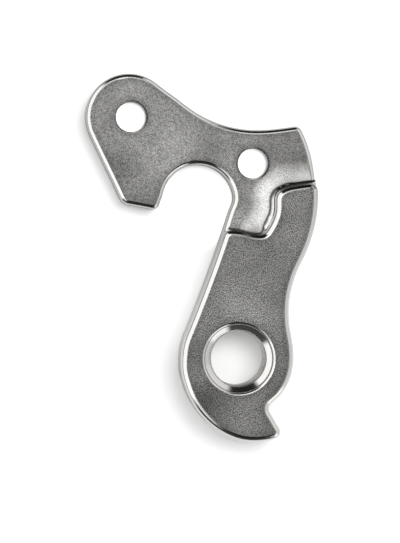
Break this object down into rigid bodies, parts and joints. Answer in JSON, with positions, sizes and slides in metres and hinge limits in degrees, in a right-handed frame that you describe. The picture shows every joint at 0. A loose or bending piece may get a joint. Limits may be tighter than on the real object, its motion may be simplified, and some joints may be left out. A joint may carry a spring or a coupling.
{
  "type": "derailleur hanger",
  "caption": "Flat cast hanger with a raised lower pad, a threaded derailleur hole, a stop hook, an open round axle slot and plain frame bolt holes.",
  "frame": {"origin": "on the axis of the threaded derailleur hole, at the flat back face", "axes": "+Z out of the face with the raised pad, +Y from the derailleur hole up towards the axle slot and the bolt holes, +X towards the side with the stop hook"},
  "size_m": [0.0386, 0.0615, 0.0074],
  "materials": {
    "blasted_aluminium": "fine blasted satin faces with bright polished edges"
  },
  "bodies": {
    "root": {"hanger": "blasted_aluminium"}
  },
  "joints": []
}
